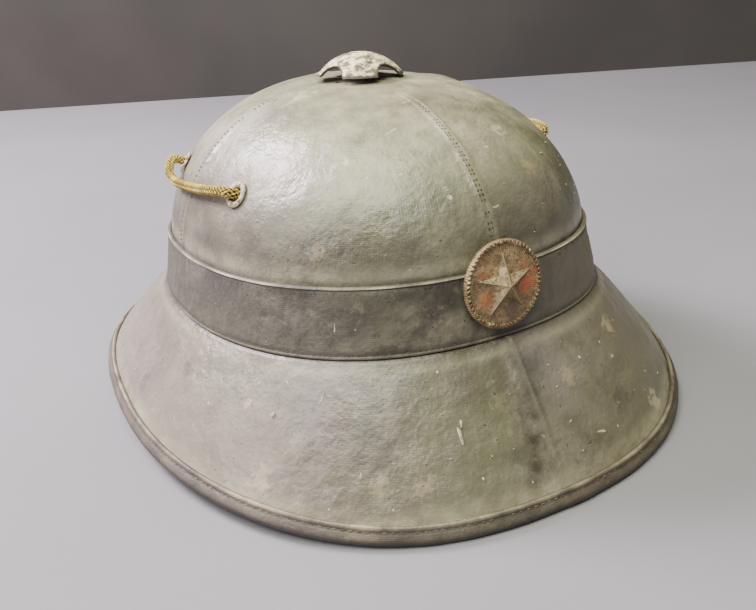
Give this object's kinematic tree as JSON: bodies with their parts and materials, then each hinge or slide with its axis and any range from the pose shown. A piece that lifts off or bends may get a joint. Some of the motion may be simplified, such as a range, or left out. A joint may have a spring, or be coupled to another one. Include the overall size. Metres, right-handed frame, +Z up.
{
  "type": "pith helmet",
  "caption": "Cloth-covered sun helmet with steep sloping brim, wide band, round star badge, vent cap and braided chin cord through eyelets.",
  "frame": {"origin": "centre of the rim on the plane that the front and back of the rim rest on", "axes": "+Z up through the crown, +Y towards the back of the helmet, -Y the way the wearer looks, +X the wearer's left"},
  "size_m": [0.2576, 0.3091, 0.1473],
  "materials": {
    "crown_cloth": "worn painted cloth, dusty grey olive",
    "brim_cloth": "worn painted cloth, dusty grey olive with stains",
    "binding_tape": "folded tape, worn brown grey",
    "band_cloth": "worn dark brown cloth",
    "badge_metal": "tarnished, with remains of red enamel",
    "cap_paint": "pale grey paint, chipped",
    "eyelet_paint": "ivory paint, rusty at the edge",
    "hidden_metal": "plain",
    "cord_braid": "braided cotton, olive gold"
  },
  "bodies": {
    "root": {"crown": "crown_cloth", "brim": "brim_cloth", "brim_binding": "binding_tape", "band": "band_cloth", "badge": "badge_metal", "badge_post": "hidden_metal", "vent_cap": "cap_paint", "vent_post": "hidden_metal", "eyelet_right_front": "eyelet_paint", "eyelet_right_rear": "eyelet_paint", "eyelet_left_front": "eyelet_paint", "eyelet_left_rear": "eyelet_paint", "chin_cord": "cord_braid", "cord_knot_right": "cord_braid", "cord_knot_left": "cord_braid"}
  },
  "joints": []
}
